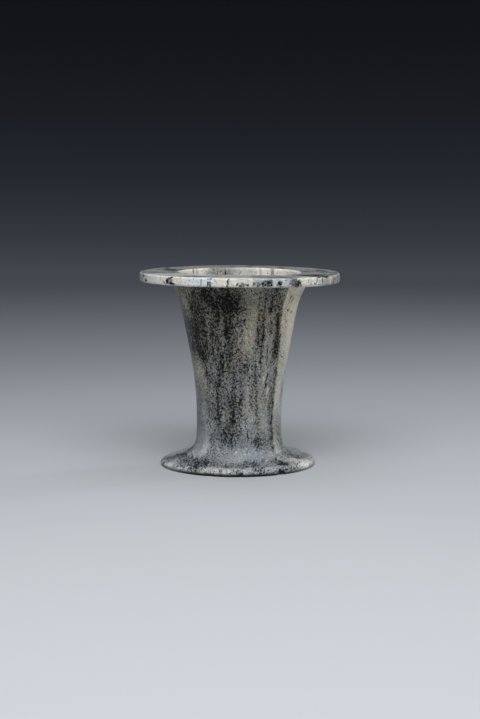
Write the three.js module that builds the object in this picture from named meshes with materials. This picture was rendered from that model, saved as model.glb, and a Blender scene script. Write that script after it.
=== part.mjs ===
// A small carved marble vase: a flat disc rim, a wall that narrows to a waist and a spreading foot.
// It is one piece of stone, turned about the Z axis and hollowed from the top, standing on z = 0.
import * as THREE from 'three';

// Sizes in millimetres

// Whole vase
const vaseHeight = 80;

// Rim: a thin disc that stands out from the wall all round
const rimRadius = 41.1;
const rimThickness = 3.7;
const rimEdgeRounding = 0.9;
const rimCornerFillet = 0.8;

// Wall under the rim: it flares over the last stretch below the disc
const flareLength = 16;
const flareBottomRadius = 22.95;
const flareTopRadius = 27.7;
const flareBottomLean = 0.195;
const flareTopLean = 0.5;

// Waist: the narrowest place of the outside
const waistRadius = 17.6;
const waistHeight = 18.8;
const neckStraight = 11;

// Foot: a low disc with a soft edge, its top sweeping up into the waist
const footRadius = 31.9;
const footEdgeHeight = 3.3;
const footEdgeRounding = 2.7;
const footTopRise = 0.8;
const undercutHeight = 0.6;
const undercutDepth = 0.8;

// Hollow: it follows the outside, with the wall measured level
const wallThickness = 3.7;
const lipRounding = 0.8;
const floorThickness = 9.5;
const hollowBottomRounding = 7;

// How finely the curves are cut into flats
const turnSides = 64;
const steps = {
  edge: 3,
  footEdge: 5,
  sweep: 9,
  wall: 7,
  flare: 6,
  hollowWall: 5,
  hollowFlare: 5,
  bottom: 4,
};

const point = (radius, height) => new THREE.Vector2(radius, height);

// A quarter of an ellipse from one point to the next, leaving the first one level or upright
function quarterRound(start, end, leaves, count) {
  const corner = leaves === 'level' ? point(end.x, start.y) : point(start.x, end.y);
  const reach = 0.5523;
  const curve = new THREE.CubicBezierCurve(
    start,
    start.clone().lerp(corner, reach),
    end.clone().lerp(corner, reach),
    end,
  );
  return curve.getPoints(count);
}

// A smooth stretch of wall between two points; each lean is millimetres outwards for each one up
function leaningCurve(start, startLean, end, endLean, count) {
  const third = (end.y - start.y) / 3;
  const curve = new THREE.CubicBezierCurve(
    start,
    point(start.x + startLean * third, start.y + third),
    point(end.x - endLean * third, end.y - third),
    end,
  );
  return curve.getPoints(count);
}

const underRim = vaseHeight - rimThickness;
const flareTop = underRim - rimCornerFillet;
const flareBottom = underRim - flareLength;

// The outside from the middle of the underside to the top of the rim
function outsideProfile() {
  const contact = point(footRadius - undercutDepth, 0);
  const footWidest = point(footRadius, undercutHeight);
  const footTop = point(footRadius - footEdgeRounding, footEdgeHeight);
  const waist = point(waistRadius, waistHeight);
  const footSweep = new THREE.CubicBezierCurve(
    footTop,
    point(waistRadius, footEdgeHeight + footTopRise),
    point(waistRadius, waistHeight - neckStraight),
    waist,
  );
  const flareStart = point(flareBottomRadius, flareBottom);
  const flareEnd = point(flareTopRadius, flareTop);
  const lowerEdgeStart = point(rimRadius - rimEdgeRounding, underRim);
  const lowerEdgeEnd = point(rimRadius, underRim + rimEdgeRounding);
  const upperEdgeStart = point(rimRadius, vaseHeight - rimEdgeRounding);
  const upperEdgeEnd = point(rimRadius - rimEdgeRounding, vaseHeight);
  return [
    point(0, 0),
    ...quarterRound(contact, footWidest, 'level', steps.edge),
    ...quarterRound(footWidest, footTop, 'upright', steps.footEdge),
    ...footSweep.getPoints(steps.sweep),
    ...leaningCurve(waist, 0, flareStart, flareBottomLean, steps.wall),
    ...leaningCurve(flareStart, flareBottomLean, flareEnd, flareTopLean, steps.flare),
    ...quarterRound(flareEnd, point(flareEnd.x + rimCornerFillet, underRim), 'upright', steps.edge),
    ...quarterRound(lowerEdgeStart, lowerEdgeEnd, 'level', steps.edge),
    ...quarterRound(upperEdgeStart, upperEdgeEnd, 'upright', steps.edge),
  ];
}

// The hollow from the lip of the mouth down to the middle of its floor
function hollowProfile() {
  const mouthRadius = flareTopRadius - wallThickness;
  const boreRadius = waistRadius - wallThickness;
  const lipTop = point(mouthRadius + lipRounding, vaseHeight);
  const lipInside = point(mouthRadius, vaseHeight - lipRounding);
  const hollowFlareTop = point(mouthRadius, flareTop);
  const hollowFlareBottom = point(flareBottomRadius - wallThickness, flareBottom);
  const boreTop = point(boreRadius, waistHeight);
  const bottomRounding = Math.min(hollowBottomRounding, boreRadius, waistHeight - floorThickness);
  const boreBottom = point(boreRadius, floorThickness + bottomRounding);
  const floorEdge = point(boreRadius - bottomRounding, floorThickness);
  const hollowFlare = leaningCurve(
    hollowFlareBottom,
    flareBottomLean,
    hollowFlareTop,
    flareTopLean,
    steps.hollowFlare,
  );
  const hollowWall = leaningCurve(
    boreTop,
    0,
    hollowFlareBottom,
    flareBottomLean,
    steps.hollowWall,
  );
  return [
    ...quarterRound(lipTop, lipInside, 'level', steps.edge),
    ...hollowFlare.reverse(),
    ...hollowWall.reverse(),
    ...quarterRound(boreBottom, floorEdge, 'upright', steps.bottom),
    point(0, floorThickness),
  ];
}

// Points that two neighbouring stretches share are kept once
function withoutRepeats(points) {
  const smallestStep = 0.01;
  return points.filter((here, i) => i === 0 || here.distanceTo(points[i - 1]) > smallestStep);
}

function makeVase() {
  const profile = withoutRepeats([...outsideProfile(), ...hollowProfile()]);
  const geometry = new THREE.LatheGeometry(profile, turnSides);
  geometry.rotateX(Math.PI / 2);
  const marble = new THREE.MeshStandardMaterial({ color: 0xaeb2b6, roughness: 0.35, metalness: 0 });
  const vase = new THREE.Mesh(geometry, marble);
  vase.name = 'vase';
  return vase;
}

const model = new THREE.Group();
model.add(makeVase());

export default model;
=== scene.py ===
"""A small carved marble vase with a flat disc rim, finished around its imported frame.

The vase is one surface: its outline is carried round the Z axis, then made a little uneven and chipped, as
handwork is. The stone's pattern is planned at every point of that surface and grained by its material.
"""

import math
from types import SimpleNamespace

import bpy
import numpy as np
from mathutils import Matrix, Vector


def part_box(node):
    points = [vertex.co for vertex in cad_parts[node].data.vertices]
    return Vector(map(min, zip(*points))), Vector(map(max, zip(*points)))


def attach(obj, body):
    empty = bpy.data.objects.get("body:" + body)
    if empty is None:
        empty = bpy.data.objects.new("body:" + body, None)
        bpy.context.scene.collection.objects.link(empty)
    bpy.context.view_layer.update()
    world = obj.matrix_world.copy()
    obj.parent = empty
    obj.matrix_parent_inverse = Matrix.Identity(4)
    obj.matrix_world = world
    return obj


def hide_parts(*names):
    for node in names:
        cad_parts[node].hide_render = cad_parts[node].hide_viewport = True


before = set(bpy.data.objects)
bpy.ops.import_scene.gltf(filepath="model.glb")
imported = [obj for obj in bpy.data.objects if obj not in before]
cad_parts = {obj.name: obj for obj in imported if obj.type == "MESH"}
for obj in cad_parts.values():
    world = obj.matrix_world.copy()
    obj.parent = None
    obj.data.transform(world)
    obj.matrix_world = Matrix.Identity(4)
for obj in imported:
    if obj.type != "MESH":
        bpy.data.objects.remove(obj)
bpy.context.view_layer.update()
CAD_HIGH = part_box("vase")[1]

bl_info = {
    "name": "Marble vase",
    "version": (1, 0, 0),
    "blender": (4, 5, 0),
    "location": "3D View > Sidebar > Marble vase",
    "description": "Makes a small carved vase of grained marble and sets it on a plain stage",
    "category": "Add Mesh",
}

MM = 0.001


def linear(hex_colour):
    """An sRGB hex colour such as "c8c4b8" as linear red, green and blue."""
    parts = [int(hex_colour[i:i + 2], 16) / 255 for i in (0, 2, 4)]
    return tuple(c / 12.92 if c <= 0.04045 else ((c + 0.055) / 1.055) ** 2.4 for c in parts)


def length(name, description, default_mm):
    """A property that holds a length, given in millimetres and kept in metres."""
    return bpy.props.FloatProperty(
        name=name, description=description, default=default_mm * MM, min=0, unit="LENGTH", precision=5)


def colour(name, description, hex_colour):
    """A property that holds a colour, given as sRGB hex."""
    return bpy.props.FloatVectorProperty(
        name=name, description=description, default=linear(hex_colour),
        size=3, min=0, max=1, subtype="COLOR")


def power(name, description, watts):
    """A property that holds the power of a light."""
    return bpy.props.FloatProperty(name=name, description=description, default=watts, min=0, unit="POWER")


class VaseSizes(bpy.types.PropertyGroup):
    """The sizes of the vase's outline. Height and rim come from the frame."""

    height: length("Height", "Underside to the top of the rim", CAD_HIGH.z / MM)
    rim_radius: length("Rim radius", "Axis to the rim's edge", CAD_HIGH.x / MM)
    rim_thickness: length("Rim thickness", "Height of the rim's edge", 3.7)
    rim_rounding: length("Rim rounding", "Rounding of the rim's two edges", 0.9)
    corner_fillet: length("Corner fillet", "Small hollow between wall and rim", 0.8)
    flare_length: length("Flare length", "Stretch of wall that flares out below the rim", 16)
    flare_bottom: length("Flare bottom radius", "Outside where the flare starts", 22.95)
    flare_top: length("Flare top radius", "Outside where the wall meets the rim", 27.7)
    waist_radius: length("Waist radius", "Outside at its narrowest", 17.6)
    waist_height: length("Waist height", "Height of the narrowest place", 18.8)
    neck_straight: length("Neck", "Stretch below the waist that stays nearly straight", 11)
    foot_radius: length("Foot radius", "Axis to the foot's edge", 31.9)
    foot_height: length("Foot edge height", "Where the foot's rounded edge ends on top", 3.3)
    foot_rounding: length("Foot rounding", "How far in the foot's edge is rounded", 2.7)
    foot_rise: length("Foot rise", "How much the foot's top climbs inwards", 0.8)
    undercut_height: length("Undercut height", "Height of the small rounding under the foot", 0.6)
    undercut_depth: length("Undercut depth", "How far in the foot touches the ground", 0.8)
    wall: length("Wall", "Thickness of the wall, measured level", 3.7)
    lip_rounding: length("Lip rounding", "Rounding of the mouth's edge", 0.8)
    floor: length("Floor", "Thickness of stone under the hollow", 9.5)
    hollow_rounding: length("Hollow rounding", "Rounding at the bottom of the hollow", 7)


class StoneLook(bpy.types.PropertyGroup):
    """The colours and the grain of the polished stone."""

    # These two fresh grounds are laid on by the paleness, which is partly painted light
    cream_ground: colour("Cream ground", "Stone where the polish is freshest, warm", "f6ead0")
    pale_ground: colour("Pale ground", "Stone where the polish is freshest, cool", "e0e7ea")
    warm_ground: colour("Warm ground", "Cream parts of the worn stone", "b8b09c")
    cool_ground: colour("Cool ground", "Blue-grey parts of the worn stone", "8c949a")
    black_grain: colour("Black grain", "Crowded dark mineral grains", "060707")
    blue_black: colour("Blue-black grain", "Crowded dark grains where the stone is cool", "0a1119")
    blue_grain: colour("Blue grain", "Single dark grains, paler at their thin edges", "1d2328")
    warm_veil: colour("Warm veil", "Ground between crowded grains where the stone is warm", "514d45")
    cool_veil: colour("Cool veil", "Ground between crowded grains where the stone is cool", "424a50")
    inky_mark: colour("Inky mark", "Crisp dark marks on the rim and in the mouth", "0d1013")
    iron_stain: colour("Iron stain", "Rusty spots", "80583a")
    # Darkens the foot's lowest edge: part dirt, part painted contact shadow
    grime_and_shadow: colour("Grime", "Dirt along the foot's lowest edge", "1c150d")
    roughness: bpy.props.FloatProperty(
        name="Roughness", description="Of the worn polish", default=0.34, min=0, max=1, subtype="FACTOR")


class StageLook(bpy.types.PropertyGroup):
    """The plain stage, its light and the camera at the photo's viewing angle."""

    key_power: power("Key light", "Large soft light above and in front", 6.9)
    top_power: power("Top light", "Wide soft light overhead", 3.0)
    side_power: power("Side light", "Upright strip to the right and behind", 0.9)
    air: bpy.props.FloatProperty(
        name="Room light", description="Even light from all around", default=0.12, min=0)
    air_colour: colour("Room colour", "Tint of the room light", "aab4c8")
    camera_distance: length("Camera distance", "Level distance from the vase's axis", 698.2)
    camera_height: length("Camera height", "Above the ground", 127)
    camera_pitch: bpy.props.FloatProperty(
        name="Camera pitch", description="Angle below level", default=math.radians(6.83), subtype="ANGLE")
    camera_lens: bpy.props.FloatProperty(
        name="Lens", description="Focal length in millimetres", default=85.3, min=1)


def quarter_round(start, end, leaves, count):
    """A quarter ellipse from start to end, in points (radius, height), that leaves start level or upright.

    With angle a from 0 to 90 degrees, one coordinate goes as sin a and the other as 1 - cos a.
    """
    a = np.linspace(0, math.pi / 2, count + 1)
    first, second = np.sin(a), 1 - np.cos(a)
    across, up = (first, second) if leaves == "level" else (second, first)
    return np.stack([start[0] + (end[0] - start[0]) * across, start[1] + (end[1] - start[1]) * up], 1)


def bezier(points, count):
    """A cubic Bezier curve: (1-t)^3 A + 3(1-t)^2 t B + 3(1-t) t^2 C + t^3 D."""
    a, b, c, d = (np.array(p, float) for p in points)
    t = np.linspace(0, 1, count + 1)[:, None]
    s = 1 - t
    return s ** 3 * a + 3 * s * s * t * b + 3 * s * t * t * c + t ** 3 * d


def leaning(start, start_lean, end, end_lean, count):
    """A stretch of wall: a cubic Bezier curve whose handles climb a third, and lean out by lean for each up."""
    third = (end[1] - start[1]) / 3
    return bezier([
        start,
        (start[0] + start_lean * third, start[1] + third),
        (end[0] - end_lean * third, end[1] - third),
        end,
    ], count)


def straight(start, end, count):
    """A straight line from start to end."""
    t = np.linspace(0, 1, count + 1)[:, None]
    return np.array(start) * (1 - t) + np.array(end) * t


# How much the wall leans out where its flare starts and ends, in mm for each one up
FLARE_LEANS = (0.195, 0.5)

# How finely each stretch of the outline is cut
STEPS = {
    "underside": 8, "edge": 4, "foot edge": 12, "foot top": 28, "wall": 40, "flare": 16, "fillet": 3,
    "under rim": 8, "rim side": 7, "rim top": 16, "lip": 3, "hollow flare": 8, "hollow wall": 10,
    "hollow bottom": 6, "hollow floor": 3,
}
SMALLEST_STEP = 0.01 * MM


def vase_outline(v):
    """The outline in points (radius, height), from the middle of the underside to the hollow's floor."""
    under_rim = v.height - v.rim_thickness
    flare_start = (v.flare_bottom, under_rim - v.flare_length)
    flare_end = (v.flare_top, under_rim - v.corner_fillet)
    waist = (v.waist_radius, v.waist_height)
    contact = (v.foot_radius - v.undercut_depth, 0)
    foot_widest = (v.foot_radius, v.undercut_height)
    foot_top = (v.foot_radius - v.foot_rounding, v.foot_height)
    corner = (v.flare_top + v.corner_fillet, under_rim)
    low_edge = (v.rim_radius - v.rim_rounding, under_rim)
    low_side = (v.rim_radius, under_rim + v.rim_rounding)
    high_side = (v.rim_radius, v.height - v.rim_rounding)
    high_edge = (v.rim_radius - v.rim_rounding, v.height)
    mouth = v.flare_top - v.wall
    bore = v.waist_radius - v.wall
    lip_top = (mouth + v.lip_rounding, v.height)
    lip_inside = (mouth, v.height - v.lip_rounding)
    hollow_flare_top = (mouth, flare_end[1])
    hollow_flare_bottom = (v.flare_bottom - v.wall, under_rim - v.flare_length)
    bore_top = (bore, v.waist_height)
    bore_bottom = (bore, v.floor + v.hollow_rounding)
    floor_edge = (bore - v.hollow_rounding, v.floor)
    stretches = [
        straight((0, 0), contact, STEPS["underside"]),
        quarter_round(contact, foot_widest, "level", STEPS["edge"]),
        quarter_round(foot_widest, foot_top, "upright", STEPS["foot edge"]),
        bezier([foot_top, (v.waist_radius, v.foot_height + v.foot_rise),
                (v.waist_radius, v.waist_height - v.neck_straight), waist], STEPS["foot top"]),
        leaning(waist, 0, flare_start, FLARE_LEANS[0], STEPS["wall"]),
        leaning(flare_start, FLARE_LEANS[0], flare_end, FLARE_LEANS[1], STEPS["flare"]),
        quarter_round(flare_end, corner, "upright", STEPS["fillet"]),
        straight(corner, low_edge, STEPS["under rim"]),
        quarter_round(low_edge, low_side, "level", STEPS["edge"]),
        straight(low_side, high_side, STEPS["rim side"]),
        quarter_round(high_side, high_edge, "upright", STEPS["edge"]),
        straight(high_edge, lip_top, STEPS["rim top"]),
        quarter_round(lip_top, lip_inside, "level", STEPS["edge"]),
        straight(lip_inside, hollow_flare_top, STEPS["lip"]),
        leaning(hollow_flare_bottom, FLARE_LEANS[0], hollow_flare_top, FLARE_LEANS[1],
                STEPS["hollow flare"])[::-1],
        leaning(bore_top, 0, hollow_flare_bottom, FLARE_LEANS[0], STEPS["hollow wall"])[::-1],
        quarter_round(bore_bottom, floor_edge, "upright", STEPS["hollow bottom"]),
        straight(floor_edge, (0, v.floor), STEPS["hollow floor"]),
    ]
    outline = np.concatenate(stretches)
    steps = np.hypot(*np.diff(outline, axis=0).T)
    return outline[np.concatenate([[True], steps > SMALLEST_STEP])]


def turned(outline, sides, gathered=0):
    """Points of the outline turned about Z: (radius sin a, -radius cos a, height) for each angle a round.

    The angles are a = t - gathered sin t for even steps of t, so they can lie closer together at the front.
    The first and last outline points are on the axis, so they are one point each.
    Returns points, quads and triangles; a row of points is one turn, angle 0 faces -Y.
    """
    t = np.linspace(0, 2 * math.pi, sides, endpoint=False)
    a = t - gathered * np.sin(t)
    ring = outline[1:-1]
    grid = np.stack([
        ring[:, :1] * np.sin(a),
        -ring[:, :1] * np.cos(a),
        np.broadcast_to(ring[:, 1:], (len(ring), sides)),
    ], -1).reshape(-1, 3)
    points = np.concatenate([[(0, 0, outline[0, 1])], grid, [(0, 0, outline[-1, 1])]])
    here = 1 + np.arange((len(ring) - 1) * sides).reshape(-1, sides)
    beside = np.roll(here, -1, 1)
    quads = np.stack([here, beside, beside + sides, here + sides], -1).reshape(-1, 4)
    first = 1 + np.arange(sides)
    last = len(points) - 1 - sides + np.arange(sides)
    low_fan = np.stack([np.zeros(sides, int), np.roll(first, -1), first], 1)
    high_fan = np.stack([np.full(sides, len(points) - 1), last, np.roll(last, -1)], 1)
    return points, quads, np.concatenate([low_fan, high_fan])


# A wave's pace may be this many times that of its named wavelength
WAVE_PACES = (0.6, 1.6)


def waves(points, wavelength, seed, count=40):
    """Smooth seeded unevenness, about -1 to 1: a sum of cosines along random directions, near one wavelength.

    points are x, y, z; wavelength is one length or one for each axis.
    """
    rng = np.random.default_rng(seed)
    direction = rng.normal(size=(count, 3))
    direction /= np.linalg.norm(direction, axis=1, keepdims=True)
    pace = 2 * math.pi * rng.uniform(*WAVE_PACES, (count, 1)) / np.broadcast_to(wavelength, 3)
    phase = rng.uniform(0, 2 * math.pi, count)
    return np.cos(points @ (direction * pace).T + phase).sum(1) / math.sqrt(count)


def smooth(low, high, value):
    """0 below low, 1 above high and an S between: 3t^2 - 2t^3."""
    t = np.clip((value - low) / (high - low), 0, 1)
    return t * t * (3 - 2 * t)


def bump(distance):
    """A round hump of height 1 at distance 0 that fades to nothing near distance 2: exp(-d^2 1.4)."""
    return np.exp(-1.4 * distance ** 2)


def spot(distance):
    """A flat-topped spot: 1 up to distance 0.7, then fading to nothing at 1.2."""
    return 1 - smooth(0.7, 1.2, np.abs(distance))


# Chips broken from the edges: turn in degrees from the front, radius, height, size and depth in mm
CHIPS = (
    (-47, 31.2, 2.0, 1.0, 0.45),
    (-75, 31.7, 1.3, 0.8, 0.50),
    (33, 31.8, 0.8, 1.7, 0.55),
    (38, 31.6, 1.6, 0.9, 0.40),
    (2, 31.8, 0.9, 1.1, 0.35),
    (-20, 31.9, 0.5, 1.6, 0.35),
    (35, 41.1, 78.2, 0.7, 0.40),
    (22, 41.0, 78.6, 0.7, 0.25),
    (50, 40.8, 79.8, 0.9, 0.30),
    (53, 40.8, 79.9, 0.6, 0.25),
    (-40, 40.9, 79.7, 0.8, 0.22),
    (-17, 41.0, 76.6, 0.8, 0.25),
    (118, 41.0, 79.6, 1.4, 0.40),
    (163, 41.0, 76.5, 1.2, 0.35),
    (-132, 40.9, 79.7, 1.1, 0.35),
    (-160, 31.8, 1.4, 1.4, 0.45),
    (104, 31.7, 1.6, 1.2, 0.40),
)

# How far the stone leans to the side: heights in mm, and sideways shifts in mm
LEAN = (
    (0, 4.5, 7, 10, 14, 19, 26, 40, 60, 70, 75, 80),
    (-0.95, -0.95, -0.62, -0.32, -0.4, -0.45, -0.27, -0.1, -0.3, -0.35, -0.15, -0.15),
)

# Unevenness of the skin: depth in mm, wavelength in mm and seed; and what is worn off all over, in mm
SKIN_WAVES = ((0.05, 24, 1), (0.02, 6, 2))
SKIN_WORN = 0.03

# How far the foot's left edge falls and its top is domed, in mm, and the dome's radius and half width in mm
LEFT_FALL = 0.9
FOOT_DOME = 0.45
FOOT_DOME_AT = (25, 4)

# How far the rim dips below the full height, in mm: all over, in waves (with their length and seed), to the
# back and to the right, and the share of the last that is missing behind
RIM_WORN = 0.06
RIM_WAVES = (0.03, 15, 3)
RIM_DIP_BACK = 0.2
RIM_DIP_RIGHT = 0.65
RIGHT_DIP_LESS_BEHIND = 0.55

# Chips are ragged by waves of this share and length in mm, summed from fewer cosines than the skin's
CHIP_RAGGED = 0.25
CHIP_WAVE = 1.3
CHIP_SEED = 500
ROUGH_WAVES = 24


def handwork(points, v):
    """Makes the turned points as uneven as carved stone, never outside the frame's box.

    The stone leans by up to a millimetre, most at the foot, whose left edge also falls away and whose top is
    gently domed. The rim dips to the right, the skin waves by hundredths of a millimetre, and the edges have
    chips pressed into them.
    """
    mm = points / MM
    made = mm.copy()
    x, y, z = mm.T
    radius = np.hypot(x, y)
    outward = mm[:, :2] / np.maximum(radius, 1)[:, None]
    skin = sum(depth * waves(mm, length_mm, seed) for depth, length_mm, seed in SKIN_WAVES) - SKIN_WORN
    made[:, :2] += outward * (skin * smooth(0, 1, radius))[:, None]
    made[:, 0] += np.interp(z, *LEAN)
    fall = smooth(0.1, 1, -outward[:, 0]) * smooth(24, 31, radius)
    fall *= smooth(1.2, 3, z) * (1 - smooth(3.4, 14, z))
    middle, half_width = FOOT_DOME_AT
    dome = bump((radius - middle) / half_width) * smooth(2.4, 3.4, z) * (1 - smooth(5, 9, z))
    depth, length_mm, seed = RIM_WAVES
    dip = RIM_WORN + depth * waves(mm, length_mm, seed) + RIM_DIP_BACK * smooth(-30, 30, y)
    dip += RIM_DIP_RIGHT * smooth(-5, 36, x) * (1 - RIGHT_DIP_LESS_BEHIND * smooth(-12, 20, y))
    made[:, 2] += FOOT_DOME * dome - LEFT_FALL * fall - dip * smooth(64, 75, z)
    for turn, chip_radius, height, size, depth in CHIPS:
        a = math.radians(turn)
        centre = (chip_radius * math.sin(a), -chip_radius * math.cos(a), height)
        ragged = 1 + CHIP_RAGGED * waves(mm, CHIP_WAVE, int(turn) + CHIP_SEED, ROUGH_WAVES)
        pressed = bump(np.linalg.norm(mm - centre, axis=1) / size * ragged)
        up_or_down = 0.5 if height < 1 else -0.5
        made += pressed[:, None] * np.array((-math.sin(a), math.cos(a), up_or_down)) * depth
    widest = v.rim_radius / MM
    made[:, :2] *= np.minimum(1, widest / np.maximum(np.hypot(made[:, 0], made[:, 1]), 1))[:, None]
    made[:, 2] = np.clip(made[:, 2], 0, v.height / MM)
    return made * MM


# Bands of dark grain across the hidden side of the rim: place across and half width in mm, and strength
BANDS = (
    (-37.4, 1.6, 0.5), (-26.6, 1.0, 0.75), (-14.7, 0.25, 0.5), (-12.2, 0.5, 0.5), (-4.3, 0.2, 0.6),
    (1.6, 0.8, 0.25), (10.2, 2.4, 0.6), (13.2, 0.2, 0.4), (15.6, 0.7, 0.7), (20.6, 1.8, 0.6),
    (23.6, 0.5, 0.7), (31.6, 0.4, 0.5), (36.6, 1.4, 0.35),
)

# Dark marks on the rim's edge, each an ellipse: turn in degrees, height as a share of the edge, half width
# and half height in mm, slant (mm sideways for each one up) and strength
RIM_MARKS = (
    (-78, 0.6, 0.9, 1.2, 0, 0.3), (-71, 0.75, 1, 0.9, -0.5, 0.6), (-66.5, 0.3, 1.3, 0.75, -0.5, 0.7),
    (-49.6, 0.72, 0.35, 1.1, 0, 0.3), (-47, 0.36, 0.35, 0.6, -0.8, 0.95),
    (-45.6, 0.18, 0.35, 0.35, -0.8, 0.9), (-42, 0.84, 1.7, 0.35, 0.15, 1), (-44, 0.48, 0.7, 1.2, 0, 0.95),
    (-40.6, 0.24, 1.5, 0.65, -0.9, 1), (-42, 0.5, 1.4, 1.3, 0, 0.5), (-21.5, 0.5, 0.25, 1.5, 0, 0.8),
    (-21.9, 0.15, 0.5, 0.25, 0, 0.6), (-17.7, 0.32, 0.35, 1.0, 0.2, 1), (-16.4, 0.86, 0.8, 0.4, 0, 0.65),
    (-16.3, 0.35, 0.8, 0.9, 0, 0.55), (-16.1, 0.08, 0.6, 0.35, 0, 0.75), (-12.8, 0.5, 0.18, 1.7, -0.5, 0.3),
    (-6.2, 0.5, 0.3, 1.8, 0.1, 1), (-6.6, 0.6, 0.6, 0.5, 0, 0.45), (-1, 0.35, 0.5, 0.45, 0, 0.65),
    (0.6, 0.2, 0.5, 0.6, 0.6, 0.7), (2, 0.35, 1.1, 0.7, 0, 0.5), (2.2, 0.2, 0.4, 0.7, 0, 0.7),
    (4.2, 0.3, 0.8, 0.45, -0.3, 0.85), (1.8, 0.86, 2.4, 0.25, 0, 0.35), (7.6, 0.4, 0.6, 0.7, 0, 0.6),
    (8.8, 0.86, 1.3, 0.35, 0, 0.3), (10.4, 0.35, 1.1, 1.2, 0, 0.5), (13.6, 0.44, 1.6, 1.5, 0, 0.5),
    (16.2, 0.5, 1.8, 1.6, 0, 0.5), (12.6, 0.4, 0.35, 0.9, 0, 0.9), (14.2, 0.35, 0.4, 1.1, 0.1, 1),
    (15.8, 0.4, 0.35, 1.2, 0, 1), (17.3, 0.35, 0.4, 1.1, -0.1, 1), (17.6, 0.75, 0.5, 0.6, 0, 0.8),
    (21, 0.9, 0.9, 0.25, 0, 0.5), (22.4, 0.6, 1, 0.6, 0, 1), (22.5, 0.4, 0.55, 0.6, 0, 1),
    (20.8, 0.3, 0.8, 0.8, 0, 0.45), (23, 0.12, 1.2, 0.4, 0, 0.4), (28, 0.9, 1.2, 0.25, 0, 0.3),
    (28.4, 0.4, 0.6, 0.3, 0, 0.65), (31.4, 0.5, 2.2, 1.6, 0, 0.5), (33.6, 0.42, 1.4, 1.5, 0.2, 0.7),
    (31.2, 0.92, 1.9, 0.3, 0, 0.6), (30.6, 0.45, 0.8, 0.8, 0, 0.45), (35.2, 0.42, 0.35, 0.8, 0, 1),
    (36, 0.58, 0.4, 0.25, 0, 0.95), (36, 0.22, 0.4, 0.25, 0, 0.95), (43, 0.25, 0.3, 0.35, 0, 0.6),
    (46, 0.28, 0.3, 0.35, 0, 0.6), (48.2, 0.6, 0.35, 1.3, 0.3, 0.55), (53.4, 0.5, 0.45, 1.7, -0.2, 0.65),
    (51, 0.96, 2, 0.25, 0, 0.7), (50.5, 0.22, 1.3, 0.3, 0, 0.5), (50.8, 0.6, 1.2, 0.9, 0, 0.15),
    (57.8, 0.95, 2.6, 0.45, 0, 0.85), (58, 0.4, 2.6, 1.6, 0, 0.22), (64.6, 0.5, 0.6, 2.2, 0.2, 0.75),
    (66.9, 0.5, 0.7, 2, 0.2, 0.85), (69.6, 0.5, 0.45, 2.2, 0.2, 0.65), (74, 0.5, 0.7, 2.2, 0.2, 0.55),
)

# Dark patches on the rim's top: place across and back in mm, two half widths in mm, strength
TOP_PATCHES = (
    (-28, 12, 4.5, 6, 0.5), (22, -25, 3.5, 5, 0.35), (31, -14, 3.5, 6, 0.45), (-14, -30, 8, 5, 0.2),
    (34, 8, 2.5, 8, 0.3),
)

# How pale the rim's edge is along the shown side: turns in degrees, and paleness from 0 to 1
RIM_PALENESS = (
    (-72, -62, -30, -12, 8, 33, 38, 50, 57),
    (0.3, 0.92, 0.92, 0.66, 0.66, 0.74, 0.94, 0.92, 0.3),
)

# Thin dark lines down the far side of the mouth: place across the vase in mm, half width in mm, strength
MOUTH_LINES = (
    (-19.3, 0.35, 0.5), (-17.9, 0.3, 0.4), (13.8, 0.7, 0.5), (8.8, 0.4, 0.3), (-6, 0.4, 0.25),
)
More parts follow.
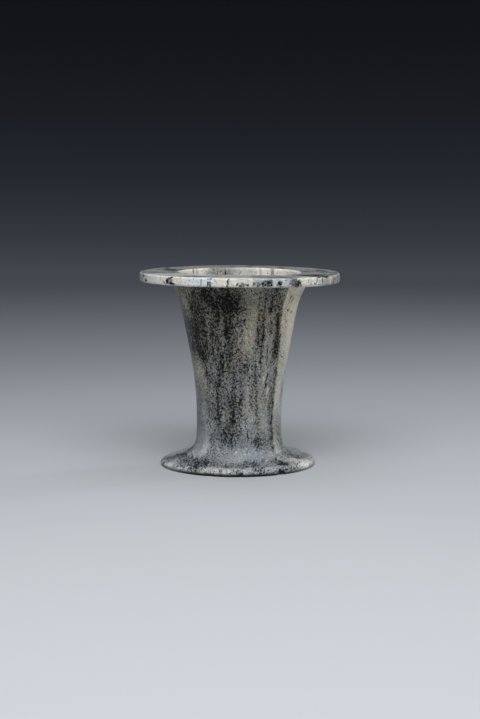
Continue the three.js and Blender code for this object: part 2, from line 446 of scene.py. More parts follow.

# Clouds of dark grain on the shown side of the wall: turn in degrees, height in mm, half width in degrees,
# half height in mm, strength. Those low on the right, 9 to 14 mm up, are partly painted shade on the neck.
CLOUDS = (
    (-56, 56, 13, 7, 0.3), (-64, 50, 6, 1.8, 0.35), (-51, 48, 5, 2.5, 0.4), (-45, 46, 4, 1.6, 0.3),
    (-30, 69, 14, 5, 0.25), (-9, 68.5, 6, 4, 0.5), (-20, 68, 3, 5, 0.35), (-21, 63, 2, 3, 0.3),
    (-45, 72, 4, 2, 0.3), (-52, 66, 2.5, 2, 0.25), (-29, 57.5, 2.5, 2.5, 0.3), (-14, 57, 3.5, 3, 0.45),
    (-30, 48, 2, 2, 0.25), (-44, 38.5, 2.3, 2.4, 0.5), (-40, 35, 2.5, 1.5, 0.3), (-29, 34.5, 5, 2, 0.3),
    (-12, 27, 3, 2.5, 0.35), (1, 28, 2.5, 3, 0.35), (-17, 15, 6, 4, 0.35), (24, 12, 5, 2, 0.15),
    (46, 12, 4, 3, 0.3), (-22, 43, 3, 3, 0.25), (33, 66, 1.5, 1.2, 0.7), (34, 57, 1.2, 1, 0.6),
    (33, 49, 1.5, 1.8, 0.7), (33, 45.5, 1.5, 1, 0.7), (35, 38.5, 1.6, 1.3, 0.8), (36, 34.5, 1.6, 1, 0.8),
    (5, 61, 1.6, 1, 0.7), (9, 58, 0.9, 0.7, 0.7), (55, 71, 1.4, 0.6, 1), (56, 65.5, 1.2, 0.6, 1),
    (57, 60, 1.5, 0.5, 1), (68, 60.5, 2, 0.4, 1), (16, 35, 5, 10, 0.35), (8, 41, 6, 6, 0.4),
    (24, 56, 4, 9, 0.4), (32, 59, 4, 4, 0.25), (0, 70, 6, 7, 0.45), (-30, 55, 5, 5, 0.15),
    (45, 50, 5, 7, 0.38), (34, 11, 16, 5, 0.5), (68, 14, 14, 12, 0.25), (17, 28, 5, 4, 0.25),
    (46, 22, 5, 9, 0.3), (24, 20, 4, 5, 0.25), (-12, 45, 6, 12, 0.12), (63, 64, 2, 0.4, 0.9),
    (55, 47.5, 1.2, 0.5, 0.9), (58, 69, 1.2, 0.5, 0.8), (72, 72, 5, 4, 0.3), (10, 45, 6, 5, 0.35),
    (18, 34, 5, 5, 0.25), (24, 50, 4, 4, 0.2), (24, 27, 4, 3, 0.2), (40, 45, 4, 3, 0.2),
    (48, 54, 3, 3, 0.15), (-16, 32, 5, 4, 0.2), (-16, 18, 4, 3, 0.2), (-48, 27, 6, 4, 0.2),
    (72, 30, 5, 5, 0.3), (48, 9, 5, 3, 0.25), (72, 9, 6, 3, 0.25), (8, 64, 5, 5, 0.2), (0, 59, 4, 5, 0.15),
    (24, 59, 3, 3, 0.15), (16, 50, 3, 3, 0.2), (40, 54, 3, 3, 0.2), (72, 31, 6, 6, 0.25),
    (8, 30, 4, 4, 0.2), (-12, 11, 6, 3, 0.25), (-22, 12, 6, 3.5, 0.15), (-48, 29, 4, 4, 0.2),
    (-24, 59, 3, 3, 0.15), (-32, 50, 4, 3, 0.15), (-40, 36, 4, 2.5, 0.15),
)

# Paler clouds there, in the same way
PALE_CLOUDS = (
    (-62, 67, 10, 7, 0.5), (-42, 15, 10, 7, 0.35), (-33, 10, 12, 3, 0.2), (-60, 40, 12, 7, 0.3),
    (-64, 56, 10, 5, 0.1), (-34, 70, 10, 4, 0.15), (40, 70, 4, 5, 0.35), (36, 35, 5, 5, 0.2),
    (46, 72, 3, 4, 0.35), (-60, 66, 12, 5, 0.35), (-48, 72, 5, 3, 0.2), (-56, 54, 6, 3, 0.2),
    (-32, 68, 4, 3, 0.2), (40, 32, 3, 3, 0.5), (-40, 18, 5, 3, 0.25), (4, 18, 7, 3, 0.25),
    (-48, 9, 6, 3, 0.25), (-56, 23, 5, 3, 0.2), (-32, 41, 4, 2.5, 0.4), (-24, 45, 3, 3, 0.3),
    (32, 38, 3, 4, 0.3), (-24, 23, 3, 3, 0.3),
)

# Streaks of dark grain down the wall: turn in degrees and height in mm at the top, the same at the bottom,
# half width in degrees, strength
STREAKS = (
    (-16.5, 51, -20.5, 39, 1.0, 1.1),
    (38, 75, 41.5, 60, 2.6, 0.55),
    (41.5, 62, 44.5, 46, 3.8, 0.42),
    (45.5, 47, 50.5, 31, 2.4, 0.5),
    (50, 31, 49, 8, 2.6, 0.45),
    (32, 76, 33, 64, 3.5, 0.35),
    (18.5, 74, 20, 50, 1.2, 0.35),
    (25, 73, 25, 36, 1.3, 0.45),
    (19, 57, 19, 34, 1.8, 0.45),
    (22, 36, 23, 20, 2.4, 0.35),
    (33, 57, 35, 33, 1.0, 0.4),
    (-29, 33, -29, 18, 2.2, 0.4),
    (-9, 31, -9, 19, 2.4, 0.4),
    (11.5, 16, 11.5, 7, 1.1, 0.6),
    (12, 42, 12, 27, 1.6, 0.25),
    (-35, 74, -40, 45, 2.0, 0.2),
)

# Dark patches on the foot: turn in degrees, radius in mm, half width in degrees, half width in mm, strength
FOOT_PATCHES = (
    (-72, 24.5, 14, 3.5, 0.3), (-55, 25.5, 12, 3.8, 0.32), (-9, 28, 7, 1.8, 0.42),
    (40, 27.4, 6.5, 3.2, 0.7), (68, 26, 9, 1.8, 0.4), (52, 22, 7, 2, 0.2), (34, 31.7, 4, 0.9, 0.7),
    (1.5, 31.9, 2.5, 0.8, 0.6), (-13, 31.4, 2, 1, 0.55), (-34, 31, 5, 1, 0.4), (-75, 31.4, 1.5, 0.8, 0.9),
    (12, 31.3, 1.2, 0.6, 0.35), (18, 31, 1, 0.8, 0.35), (-25, 25, 8, 2, 0.2), (14, 25, 8, 2, 0.15),
    (62, 28, 13, 4.5, -0.25),
)

# Pale patches on the foot, the one at turn 88 a painted highlight along its right back edge, and where it is
# less blue, in the same way
FOOT_PALE_AND_HIGHLIGHT = (
    (60, 28, 14, 4, 0.9), (72, 31, 14, 1.6, 0.5), (88, 30.8, 12, 1.6, 1), (-66, 30.8, 7, 1.2, 0.3),
    (-27, 30.3, 12, 1.6, 0.3), (14, 30, 12, 1.6, 0.25), (-47, 31.2, 2, 0.8, 0.5), (0, 21.5, 14, 3, 0.25),
    (-38, 20, 14, 2, 0.35),
)
FOOT_WARM = (
    (66, 29, 18, 4, 0.45),
)

# Rusty spots: turn in degrees, height in mm, half width in degrees, half height in mm, strength
FOOT_RUST = (
    (9, 1.2, 1.6, 0.9, 0.8),
)
WALL_RUST = (
    (49, 56.2, 0.9, 0.8, 0.8),
)

# The first seed of the streaks' broken edges, and the densest grain, where 1 is crowded
STREAK_SEED = 700
DENSEST = 1.25


def shaken(places, reach, wavelength, seed):
    """The places, each moved along every axis by its own seeded waves, by up to about reach."""
    return places + reach * np.stack([waves(places, wavelength, seed + axis) for axis in range(3)], 1)


def bearing(places):
    """How far round from the front each place is, in degrees: the angle whose tangent is x over -y."""
    return np.degrees(np.arctan2(places[:, 0], -places[:, 1]))


def patches(table, across, along):
    """The sum of round humps: a row is a place across and along, two half widths and a strength."""
    return sum(
        strength * bump(np.hypot((across - here) / half_across, (along - there) / half_along))
        for here, there, half_across, half_along, strength in table)


# Where one part of the vase fades into the next: heights in mm
FOOT_ENDS = (4, 7)
RIM_STARTS = (75.6, 76.2)
RIM_TOP_STARTS = (79.9, 80)
HOLLOW_FROM = 5

# Half way through the wall: heights and radii in mm. Nearer the axis is the inside
WALL_MIDDLE = ((0, 19, 60, 75.5, 80), (15, 15.7, 21, 25.8, 25))

# The far half of the inside starts here, in mm across the axis, and the shown side fades out here, in degrees
FAR_STARTS = (-10, 4)
SHOWN_ENDS = (72, 100)

# The cream strip on the right starts at this turn, in degrees, which steps back with the height in mm
CREAM_BORDER = ((50, 57), (51.5, 46.5))
CREAM_BLUR = 1.5


def survey(points):
    """Where every point is, in mm and in degrees from the front, and which part of the vase it is on, 0 to 1.

    turn and height belong to a place shaken a little away from the point, so that what they lay out has
    natural edges. fine_turn and fine_height do the same for small crisp marks.
    """
    mm = points / MM
    x, y, z = mm.T
    radius = np.hypot(x, y)
    bent = shaken(mm, 0.8, (9, 9, 16), 11)
    near = 0.6 * shaken(mm, 0.35, (2.2, 2.2, 4), 21) + 0.4 * bent
    fine = shaken(mm, 0.25, 1.6, 24)
    turn = bearing(near)
    inside = (radius < np.interp(z, *WALL_MIDDLE)) * (z > HOLLOW_FROM)
    outside = 1 - inside
    rim = smooth(*RIM_STARTS, z) * outside
    far = smooth(*FAR_STARTS, y) * inside
    return SimpleNamespace(
        mm=mm, x=x, y=y, z=z, radius=radius, bent=bent,
        turn=turn, height=near[:, 2], fine_turn=bearing(fine), fine_height=fine[:, 2],
        inside=inside, far=far, rim=rim, rim_top=smooth(*RIM_TOP_STARTS, z) * rim,
        wall=smooth(*FOOT_ENDS, z) * (1 - smooth(*RIM_STARTS, z)) * outside,
        foot=(1 - smooth(*FOOT_ENDS, z)) * outside,
        shown=1 - smooth(*SHOWN_ENDS, np.abs(turn)),
        cream_side=smooth(-CREAM_BLUR, CREAM_BLUR, turn - np.interp(z, *CREAM_BORDER)),
        far_blue=far * (smooth(-16, -11, x) - 0.6 * smooth(-5, 1, x) - 0.4 * smooth(5, 9, x)),
        blue_rim=smooth(-34, -30, turn) * (1 - smooth(-14, -12, turn))
        + smooth(7, 10, turn) * (1 - smooth(33, 35, turn)),
        slow=0.5 + 0.5 * waves(mm, (7, 26, 40), 32),
        clouds=0.5 + 0.5 * waves(mm, (12, 16, 22), 33),
    )


# How dense the dark grain is on the shown side of the wall: 0 is none, 1 is crowded
LEFT_GRAIN = 0.74
LEFT_CORNER_THINNER = 0.3
LEFT_LOW_THINNER = 0.14
MIDDLE_GRAIN = 0.26
MIDDLE_HIGH_DENSER = 0.26
CREAM_GRAIN = 0.12

# The share of a pale cloud that thins the grain, and the share that pales the ground
CLOUD_THINS = 0.55
CLOUD_PALES = 0.8


def wall_grain(at):
    """The density of the dark grain on the outer wall.

    The shown side has a base for its left, its middle and the cream right, and clouds and streaks on it. The
    hidden side has slow streaks and clouds only.
    """
    left = 1 - smooth(-8, 10, at.turn)
    middle = (1 - left) * (1 - at.cream_side)
    corner = (1 - smooth(-50, -40, at.turn)) * (1 - smooth(38, 48, at.z))
    low = 1 - smooth(28, 50, at.z)
    high = smooth(12, 22, at.turn) * smooth(44, 66, at.z)
    shown = left * (LEFT_GRAIN - LEFT_CORNER_THINNER * corner - LEFT_LOW_THINNER * low)
    shown += middle * (MIDDLE_GRAIN + MIDDLE_HIGH_DENSER * high) + CREAM_GRAIN * at.cream_side
    shown *= 0.5 + 0.5 * smooth(7, 14, at.z)
    shown += 0.2 * (at.slow - 0.5) + 0.16 * (at.clouds - 0.5)
    shown += patches(CLOUDS, at.turn, at.height) - CLOUD_THINS * patches(PALE_CLOUDS, at.turn, at.height)
    for top_turn, top, low_turn, bottom, half_turn, strength in STREAKS:
        down = np.clip((top - at.height) / (top - bottom), -0.2, 1.2)
        ends = smooth(-0.15, 0.1, down) * (1 - smooth(0.9, 1.15, down))
        broken = 0.65 + 0.35 * waves(at.mm, (3, 3, 5), int(10 * top_turn) + STREAK_SEED, ROUGH_WAVES)
        aside = at.turn - top_turn - (low_turn - top_turn) * down
        shown += strength * ends * broken * bump(aside / half_turn)
    hidden = 0.3 + 0.34 * smooth(0.35, 1.0, at.slow) + 0.32 * smooth(0.55, 1.1, at.clouds)
    return shown * at.shown + hidden * (1 - at.shown)


def foot_grain(at):
    """The density of the dark grain on the foot: clouds, thinner towards the edge, and its patches."""
    shown = 0.5 - 0.12 * smooth(29, 31, at.radius) + 0.3 * (at.clouds - 0.5)
    shown += patches(FOOT_PATCHES, at.turn, at.radius)
    hidden = 0.12 + 0.3 * smooth(0.5, 1.1, at.clouds)
    return shown * at.shown + hidden * (1 - at.shown)


def rim_marks(at, v):
    """The dark marks on the rim's edge, 0 to 1: flat-topped slanting ellipses, and the stronger of two."""
    marks = np.zeros(len(at.mm))
    for turn, share, half_width, half_height, slant, strength in RIM_MARKS:
        above = at.fine_height - (v.height - v.rim_thickness) / MM - share * v.rim_thickness / MM
        aside = np.radians(at.fine_turn - turn) * v.rim_radius / MM - slant * above
        marks = np.maximum(marks, strength * spot(np.hypot(aside / half_width, above / half_height)))
    return marks


def rim_grain(at, marks):
    """The density of the dark grain on the rim: clouds, marks, and patches and streaks on its top.

    The hidden side has bands across X in place of the marks.
    """
    drift = at.bent[:, 0] + 0.06 * (at.y + 30) + 1.2 * waves(at.mm, (30, 40, 60), 31)
    bands = sum(strength * bump((drift - place) / half_width) for place, half_width, strength in BANDS)
    bands *= (0.5 + 0.25 * waves(at.mm, (4, 14, 4), 35)) * (1 - at.shown)
    along_x = 0.3 * 0.5 * waves(at.mm, (34, 5, 9), 36)
    top = 0.14 - 0.1 * smooth(-12, 16, at.y) + along_x + patches(TOP_PATCHES, at.bent[:, 0], at.bent[:, 1])
    return 0.13 + 0.12 * (at.clouds - 0.5) + 0.3 * marks + bands + at.rim_top * top


def inside_grain(at):
    """The density of the dark grain in the hollow: little, most of it in the blue part of the far side."""
    near_side = 0.3 * smooth(0.6, 1.1, at.slow) * smooth(0.5, 1, at.clouds) * (1 - at.far)
    return 0.08 + 0.05 * at.far + 0.16 * at.far_blue + near_side


def cool_tint(at):
    """How blue the ground is: less and less from the foot up, and more again on the rim and far inside. The
    rim's top is bluer still, partly as a painted reflection of the dark backdrop.
    """
    cool = np.interp(at.z, (5, 20, 45, 70), (0.95, 0.7, 0.42, 0.05)) + 0.14 * waves(at.mm, (14, 20, 24), 41)
    cool += (0.2 * smooth(46, 70, -at.turn) - 0.12 * smooth(44, 52, at.turn)) * at.shown * at.wall
    # The rim's top is bluer partly as a painted reflection of the dark backdrop, partly the stone
    cool += at.rim * (0.4 + 0.35 * at.blue_rim) + 0.3 * at.rim_top
    cool += 0.45 * at.far + 0.2 * at.far_blue
    return cool - at.foot * patches(FOOT_WARM, at.turn, at.radius)


def paleness_and_painted_light(at):
    """How pale the ground is: a cream strip that fades downwards, most of the rim's edge, and the inside. Part
    of
    it is painted light: the cream grows paler upwards, the rim's top is darker as a painted reflection, and a
    painted highlight lies on the foot's right back edge.
    """
    # Partly painted light: the cream is paler towards the top against the rim's shadow, and less pale low down
    # where the side light falls
    cream = at.cream_side * np.interp(at.z, (10, 25, 45, 60, 68), (0.12, 0.36, 0.54, 0.8, 1))
    paler = CLOUD_PALES * patches(PALE_CLOUDS, at.turn, at.height)
    foot = 0.34 + 0.2 * at.foot * smooth(29, 31.5, at.radius) + patches(FOOT_PALE_AND_HIGHLIGHT, at.turn, at.radius)
    rim = np.interp(at.turn, *RIM_PALENESS) - 0.26 * at.blue_rim * smooth(0, 4, at.turn)
    inside = 0.9 - 0.75 * at.far_blue
    # The rim's top is less pale partly as a painted reflection of the dark backdrop, partly the stone
    return (at.wall * (0.1 + (cream + paler) * at.shown) + at.foot * foot + at.rim * rim - 0.3 * at.rim_top
            + at.inside * inside)


def stone_plan(points, v):
    """What the stone is like at each point, in numbers from 0 to 1 that its material reads.

    They say how dense the dark grain is (up to DENSEST), how blue the ground is and how pale, both partly
    painted light, and where there are inky marks, rust, dirt with painted contact shadow along the foot's
    lowest edge, and grains that lie level, as on the foot.
    """
    at = survey(points)
    marks = rim_marks(at, v)
    lines = sum(strength * spot((at.x - place) / half_width) for place, half_width, strength in MOUTH_LINES)
    grain = at.wall * wall_grain(at) + at.foot * foot_grain(at)
    grain += at.rim * rim_grain(at, marks) + at.inside * inside_grain(at)
    rust = patches(FOOT_RUST, at.turn, at.z) * (at.radius > 30)
    rust += patches(WALL_RUST, at.turn, at.height) * at.wall
    rust += 0.3 * smooth(1.5, 2.2, waves(at.mm, (3, 3, 4), 51)) * at.wall * smooth(0.25, 0.5, grain)
    # Dirt and painted contact shadow along the foot's lowest edge, strongest at the front
    at_front = 1 - smooth(25, 50, np.abs(at.turn + 8))
    grime_and_shadow = (1 - smooth(0.6, 1.7, at.z)) * (at.radius > 29) * (0.5 + 0.5 * at_front)
    return {
        "grain_density": np.clip(grain, 0, DENSEST),
        "coolness": np.clip(cool_tint(at), 0, 1),
        "paleness": np.clip(paleness_and_painted_light(at), 0, 1),
        "ink": np.clip(marks * at.rim + lines * at.far * smooth(70, 74, at.z), 0, 1),
        "rust": np.clip(rust, 0, 1),
        "grime_and_shadow": np.clip(grime_and_shadow, 0, 1),
        "lying": at.foot,
    }


def new_object(name, points, quads, triangles, attributes=None):
    """A smooth mesh object of these faces, with one number at each point for each named attribute."""
    mesh = bpy.data.meshes.new(name)
    mesh.vertices.add(len(points))
    mesh.vertices.foreach_set("co", points.astype(np.float32).ravel())
    corners = np.concatenate([quads.ravel(), triangles.ravel()])
    starts = np.concatenate([np.arange(len(quads)) * 4, quads.size + np.arange(len(triangles)) * 3])
    mesh.loops.add(len(corners))
    mesh.loops.foreach_set("vertex_index", corners.astype(np.int32))
    mesh.polygons.add(len(starts))
    mesh.polygons.foreach_set("loop_start", starts.astype(np.int32))
    mesh.update(calc_edges=True)
    mesh.polygons.foreach_set("use_smooth", np.ones(len(starts), bool))
    for key, values in (attributes or {}).items():
        mesh.attributes.new(key, "FLOAT", "POINT").data.foreach_set("value", values.astype(np.float32))
    if mesh.validate():
        raise RuntimeError(f"the mesh of {name} had faults")
    made = bpy.data.objects.new(name, mesh)
    bpy.context.scene.collection.objects.link(made)
    return made


def add(tree, kind, inputs=None, **settings):
    """Adds one node: settings are its own choices, and inputs what its sockets hold or what feeds them."""
    node = tree.nodes.new(kind)
    for name, value in settings.items():
        setattr(node, name, value)
    for socket, value in (inputs or {}).items():
        if isinstance(value, bpy.types.NodeSocket):
            tree.links.new(value, node.inputs[socket])
        else:
            node.inputs[socket].default_value = value
    return node


def blank_material(name):
    """A material with an output node only, and its node tree."""
    material = bpy.data.materials.new(name)
    material.use_nodes = True
    material.node_tree.nodes.clear()
    return material, material.node_tree


def opaque(rgb):
    """A linear colour as a colour socket holds it."""
    return (*rgb, 1)


FULL_DENSITY = 1.6


def grains(tree, place, density, size, levels, softness):
    """1 in grains of about this size and 0 between them: noise cut at a level that falls as density grows.

    levels are the cuts at density 0 and at FULL_DENSITY; softness is how far from its cut a grain fades out.
    """
    noise = add(tree, "ShaderNodeTexNoise", {
        "Vector": place, "Scale": 1 / size, "Detail": 1.5, "Roughness": 0.5}).outputs["Fac"]
    level = add(tree, "ShaderNodeMapRange", {
        "Value": density, "From Min": 0, "From Max": FULL_DENSITY,
        "To Min": levels[0], "To Max": levels[1]}).outputs[0]
    over = add(tree, "ShaderNodeMath", {0: noise, 1: level}, operation="SUBTRACT").outputs[0]
    return add(tree, "ShaderNodeMapRange", {
        "Value": over, "From Min": -softness, "From Max": softness},
        interpolation_type="SMOOTHSTEP").outputs[0]


# How much a pattern is drawn out along X, Y and Z: a smaller number is longer
STREAK_DRAWN = (1, 0.45, 0.16)
WALL_GRAIN_DRAWN = (1, 0.85, 0.84)
FOOT_GRAIN_DRAWN = (1, 0.4, 0.84)

# Noises of the stone: name, size in mm, detail and roughness
STREAK_NOISE = ("streaks", 1.7, 2, 0.5)
TONE_NOISE = ("tone", 6, 3, 0.6)
MOTTLE_NOISE = ("mottle", 1.1, 3, 0.7)

BLACK_GRAIN_SIZE = 0.72 * MM
PEPPER_SIZE = 0.42 * MM
RELIEF_DEPTH = 0.06 * MM


def polished_marble(look):
    """Speckled marble, ground and hand polished, then worn.

    The eye sees a pale ground, cream to blue-grey, crowded in places by black grains drawn out along the
    bedding and peppered between them, a sugary mottle, a soft gloss, black marks on the rim, a dark line
    round the bottom that is part dirt and part painted contact shadow, and a few rusty spots.
    """
    material, tree = blank_material("polished_speckled_marble")
    place = add(tree, "ShaderNodeTexCoord").outputs["Object"]
    plan = {}
    for name in ("grain_density", "coolness", "paleness", "ink", "rust", "grime_and_shadow", "lying"):
        plan[name] = add(tree, "ShaderNodeAttribute", attribute_name=name).outputs["Fac"]

    # The bedding: grains stand on the wall and lie on the foot
    standing = add(tree, "ShaderNodeMapping", {"Vector": place, "Scale": WALL_GRAIN_DRAWN}).outputs[0]
    level = add(tree, "ShaderNodeMapping", {"Vector": place, "Scale": FOOT_GRAIN_DRAWN}).outputs[0]
    drawn_out = add(tree, "ShaderNodeMapping", {"Vector": place, "Scale": STREAK_DRAWN}).outputs[0]
    bedding = add(tree, "ShaderNodeMix", {
        0: plan["lying"], 4: standing, 5: level}, data_type="VECTOR").outputs[1]
    noise = {}
    for along, (name, size_mm, detail, roughness) in (
        (drawn_out, STREAK_NOISE), (bedding, TONE_NOISE), (bedding, MOTTLE_NOISE),
    ):
        noise[name] = add(tree, "ShaderNodeTexNoise", {
            "Vector": along, "Scale": 1 / (size_mm * MM),
            "Detail": detail, "Roughness": roughness}).outputs["Fac"]

    # What the noises do: which stretch of a noise counts, and the two numbers it becomes
    ranges = {}
    for name, source, low, high, least, most in (
        ("crowding", "streaks", 0.3, 0.7, 0.82, 1.18),
        ("ground_shade", "mottle", 0.3, 0.7, 0.6, 1.16),
        ("pale_shade", "mottle", 0.3, 0.7, 0.84, 1.04),
        ("flecks", "mottle", 0.58, 0.72, 0, 0.4),
        ("ragged", "mottle", 0.35, 0.55, 0.7, 1.35),
        ("gloss", "mottle", 0.3, 0.7, look.roughness - 0.06, look.roughness + 0.1),
    ):
        ranges[name] = add(tree, "ShaderNodeMapRange", {
            "Value": noise[source], "From Min": low, "From Max": high,
            "To Min": least, "To Max": most}).outputs[0]

    # Grains crowd along the streaks. Where there are many, their ground is veiled and they are blackest
    crowd = add(tree, "ShaderNodeMath", {
        0: plan["grain_density"], 1: ranges["crowding"]}, operation="MULTIPLY").outputs[0]
    for name, low, high, most in (
        ("peppered", 0.02, 0.28, 1),
        ("veil", 0.1, 1.1, 0.75),
        ("crowded", 0.25, 1, 1),
    ):
        ranges[name] = add(tree, "ShaderNodeMapRange", {
            "Value": crowd, "From Min": low, "From Max": high, "To Min": 0, "To Max": most}).outputs[0]
    black = grains(tree, bedding, crowd, BLACK_GRAIN_SIZE, (0.75, 0.25), 0.105)
    pepper = grains(tree, bedding, crowd, PEPPER_SIZE, (0.625, 0.28), 0.11)
    pepper = add(tree, "ShaderNodeMath", {0: pepper, 1: ranges["peppered"]}, operation="MULTIPLY").outputs[0]

    # The tone changes slowly from cream to blue, and flecks of the mottle are fresh and pale
    cool = add(tree, "ShaderNodeMath", {
        0: noise["tone"], 1: 0.7, 2: plan["coolness"]}, operation="MULTIPLY_ADD").outputs[0]
    cool = add(tree, "ShaderNodeMath", {0: cool, 1: 0.35}, operation="SUBTRACT", use_clamp=True).outputs[0]
    pale = add(tree, "ShaderNodeMath", {
        0: plan["paleness"], 1: ranges["flecks"]}, operation="ADD", use_clamp=True).outputs[0]
    drawn = add(tree, "ShaderNodeMath", {
        0: ranges["ragged"], 1: plan["ink"]}, operation="MULTIPLY", use_clamp=True).outputs[0]

    # Colours of the ground, the veil and the grains, each from warm to cool
    tints = {}
    for name, warm, blue in (
        ("ground", look.warm_ground, look.cool_ground),
        ("pale", look.cream_ground, look.pale_ground),
        ("veil", look.warm_veil, look.cool_veil),
        ("blackest", look.black_grain, look.blue_black),
    ):
        tints[name] = add(tree, "ShaderNodeMix", {
            0: cool, 6: opaque(warm), 7: opaque(blue)}, data_type="RGBA").outputs[2]
    for name, shade in (("ground", "ground_shade"), ("pale", "pale_shade")):
        tints[name] = add(tree, "ShaderNodeMix", {
            0: 1.0, 6: tints[name], 7: ranges[shade]}, data_type="RGBA", blend_type="MULTIPLY").outputs[2]
    dark = add(tree, "ShaderNodeMix", {
        0: ranges["crowded"], 6: opaque(look.blue_grain), 7: tints["blackest"]}, data_type="RGBA").outputs[2]

    # Laid over the ground in turn: how much, and what
    skin = tints["ground"]
    # The pale ground follows the paleness, which is partly painted light
    for amount, over in ((pale, tints["pale"]), (ranges["veil"], tints["veil"])):
        skin = add(tree, "ShaderNodeMix", {0: amount, 6: skin, 7: over}, data_type="RGBA").outputs[2]
    grey = add(tree, "ShaderNodeMix", {0: 0.6, 6: skin, 7: dark}, data_type="RGBA").outputs[2]
    for amount, over in (
        (pepper, grey),
        (black, dark),
        (drawn, opaque(look.inky_mark)),
        (plan["rust"], opaque(look.iron_stain)),
        # Dirt and painted contact shadow along the foot's lowest edge
        (plan["grime_and_shadow"], opaque(look.grime_and_shadow)),
    ):
        skin = add(tree, "ShaderNodeMix", {0: amount, 6: skin, 7: over}, data_type="RGBA").outputs[2]

    relief = add(tree, "ShaderNodeMath", {
        0: black, 1: -0.5, 2: noise["mottle"]}, operation="MULTIPLY_ADD").outputs[0]
    bumps = add(tree, "ShaderNodeBump", {
        "Height": relief, "Strength": 0.25, "Distance": RELIEF_DEPTH}).outputs[0]
    stone = add(tree, "ShaderNodeBsdfPrincipled", {
        "Base Color": skin, "Roughness": ranges["gloss"], "Normal": bumps,
        "IOR": 1.5, "Specular IOR Level": 0.13}, name="stone")
    add(tree, "ShaderNodeOutputMaterial", {"Surface": stone.outputs[0]})
    return material


# Light falloff painted on the background paper: distance in metres from its pale middle, a painted pool of
# light, and colour
PAPER_FALLOFF = (
    (0.1, "b7bcc0"), (0.33, "aeb4b9"), (0.6, "9ca2a8"), (0.85, "979da4"), (1.35, "939ba5"), (1.5, "767f8a"),
    (1.66, "59606c"), (1.78, "484c57"), (1.9, "3a3c46"), (2.05, "2f313a"),
)
PAPER_MIDDLE = (0, -0.25, 0)
LEVEL_ONLY = (1, 1, 0)


def paper_with_painted_falloff():
    """Matt background paper with painted light falloff: pale around the vase, and darkening to dark grey far
    from it.
    """
    material, tree = blank_material("background_paper_with_painted_falloff")
    place = add(tree, "ShaderNodeTexCoord").outputs["Object"]
    moved = add(tree, "ShaderNodeVectorMath", {0: place, 1: PAPER_MIDDLE}, operation="SUBTRACT").outputs[0]
    flat = add(tree, "ShaderNodeVectorMath", {0: moved, 1: LEVEL_ONLY}, operation="MULTIPLY").outputs[0]
    away = add(tree, "ShaderNodeVectorMath", {0: flat}, operation="LENGTH").outputs["Value"]
    reach = PAPER_FALLOFF[-1][0]
    share = add(tree, "ShaderNodeMath", {0: away, 1: reach}, operation="DIVIDE", use_clamp=True).outputs[0]
    # The painted light falloff: the paper's colour darkens with distance from the middle
    painted_falloff_colour = add(tree, "ShaderNodeValToRGB", {"Fac": share})
    stops = painted_falloff_colour.color_ramp.elements
    for number, (distance, hex_colour) in enumerate(PAPER_FALLOFF):
        stop = stops.new(distance / reach) if 0 < number < len(PAPER_FALLOFF) - 1 else stops[-1 if number else 0]
        stop.position = distance / reach
        stop.color = opaque(linear(hex_colour))
    matt = add(tree, "ShaderNodeBsdfPrincipled", {
        "Base Color": painted_falloff_colour.outputs[0], "Roughness": 0.9, "Specular IOR Level": 0.2})
    add(tree, "ShaderNodeOutputMaterial", {"Surface": matt.outputs[0]})
    return material


class VASE_OT_carve(bpy.types.Operator):
    """Carves the vase: its uneven turned surface, and the stone it is made of"""

    bl_idname = "vase.carve"
    bl_label = "Carve the vase"

    sides = 540
    gathered = 0.35

    def execute(self, context):
        sizes = context.scene.vase_sizes
        points, quads, triangles = turned(vase_outline(sizes), self.sides, self.gathered)
        plan = stone_plan(points, sizes)
        vase = new_object("marble_vase", handwork(points, sizes), quads, triangles, plan)
        vase.data.materials.append(polished_marble(context.scene.stone_look))
        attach(vase, "root")
        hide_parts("vase")
        return {"FINISHED"}


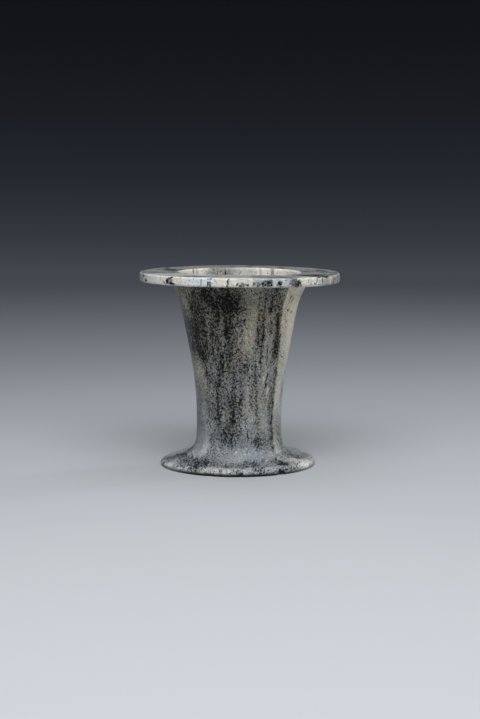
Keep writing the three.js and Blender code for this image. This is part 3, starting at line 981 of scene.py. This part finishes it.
class VASE_OT_stage(bpy.types.Operator):
    """Sets the stage: a pale floor that curves up all round, soft light and the camera"""

    bl_idname = "vase.stage"
    bl_label = "Set the stage"

    flat_radius = 1.0
    bowl_rise = 0.9
    wall_top = 2.0
    floor_steps = 12
    rise_steps = 24
    sides = 96
    aim_height = 0.04

    def execute(self, context):
        look = context.scene.stage_look
        self.make_floor()
        self.make_lights(context, look)
        self.make_camera(context, look)
        return {"FINISHED"}

    def make_floor(self):
        """A flat disc whose outline then climbs a quarter ellipse and goes on straight up, turned about Z."""
        wall_radius = self.flat_radius + self.bowl_rise
        outline = np.concatenate([
            straight((0, 0), (self.flat_radius, 0), self.floor_steps),
            quarter_round((self.flat_radius, 0), (wall_radius, self.bowl_rise), "level", self.rise_steps)[1:],
            [(wall_radius, self.wall_top), (0, self.wall_top)],
        ])
        points, quads, triangles = turned(outline, self.sides)
        middle = triangles[:self.sides]
        floor = new_object("stage_floor", points, quads[:, ::-1], middle[:, ::-1])
        floor.data.materials.append(paper_with_painted_falloff())

    def make_lights(self, context, look):
        """Two large soft boxes and an upright strip that the camera doesn't see, and a dim even room."""
        # Name, power, place, width and depth
        lights = (
            ("key_softbox", look.key_power, (0.0, -0.55, 0.60), 0.9, 0.5),
            ("top_softbox", look.top_power, (0, 0.05, 0.85), 0.9, 0.9),
            ("side_strip", look.side_power, (0.52, 0.31, 0.16), 0.06, 0.4),
        )
        for name, power, place, width, depth in lights:
            data = bpy.data.lights.new(name, "AREA")
            data.shape = "RECTANGLE"
            data.size, data.size_y = width, depth
            data.energy = power
            lamp = bpy.data.objects.new(name, data)
            lamp.location = place
            aim = lamp.location * -1
            aim.z += self.aim_height
            lamp.rotation_euler = aim.to_track_quat("-Z", "Y").to_euler()
            lamp.visible_camera = False
            context.scene.collection.objects.link(lamp)
        world = bpy.data.worlds.new("dim_room")
        world.use_nodes = True
        background = world.node_tree.nodes["Background"]
        background.inputs["Color"].default_value = opaque(look.air_colour)
        background.inputs["Strength"].default_value = look.air
        context.scene.world = world
        context.scene.view_settings.view_transform = "Standard"

    def make_camera(self, context, look):
        """The camera stands in front, a little above the rim, and looks slightly down."""
        data = bpy.data.cameras.new("camera")
        data.lens = look.camera_lens
        camera = bpy.data.objects.new("camera", data)
        camera.location = (0, -look.camera_distance, look.camera_height)
        camera.rotation_euler = (math.pi / 2 - look.camera_pitch, 0, 0)
        context.scene.collection.objects.link(camera)
        context.scene.camera = camera


class VASE_PT_panel(bpy.types.Panel):
    """Lists the vase's sizes, its stone and the stage, with the operators that make them"""

    bl_idname = "VASE_PT_panel"
    bl_label = "Marble vase"
    bl_space_type = "VIEW_3D"
    bl_region_type = "UI"
    bl_category = "Marble vase"

    def draw(self, context):
        scene = context.scene
        for title, group, operator in (
            ("Sizes", scene.vase_sizes, None),
            ("Stone", scene.stone_look, VASE_OT_carve),
            ("Stage", scene.stage_look, VASE_OT_stage),
        ):
            box = self.layout.box()
            box.label(text=title)
            for name in group.__annotations__:
                box.prop(group, name)
            if operator:
                box.operator(operator.bl_idname)


CLASSES = (VaseSizes, StoneLook, StageLook, VASE_OT_carve, VASE_OT_stage, VASE_PT_panel)


def register():
    for cls in CLASSES:
        bpy.utils.register_class(cls)
    bpy.types.Scene.vase_sizes = bpy.props.PointerProperty(type=VaseSizes)
    bpy.types.Scene.stone_look = bpy.props.PointerProperty(type=StoneLook)
    bpy.types.Scene.stage_look = bpy.props.PointerProperty(type=StageLook)


def unregister():
    del bpy.types.Scene.stage_look
    del bpy.types.Scene.stone_look
    del bpy.types.Scene.vase_sizes
    for cls in reversed(CLASSES):
        bpy.utils.unregister_class(cls)


def main():
    register()
    bpy.ops.vase.carve()
    bpy.ops.vase.stage()


if __name__ == "__main__":
    main()
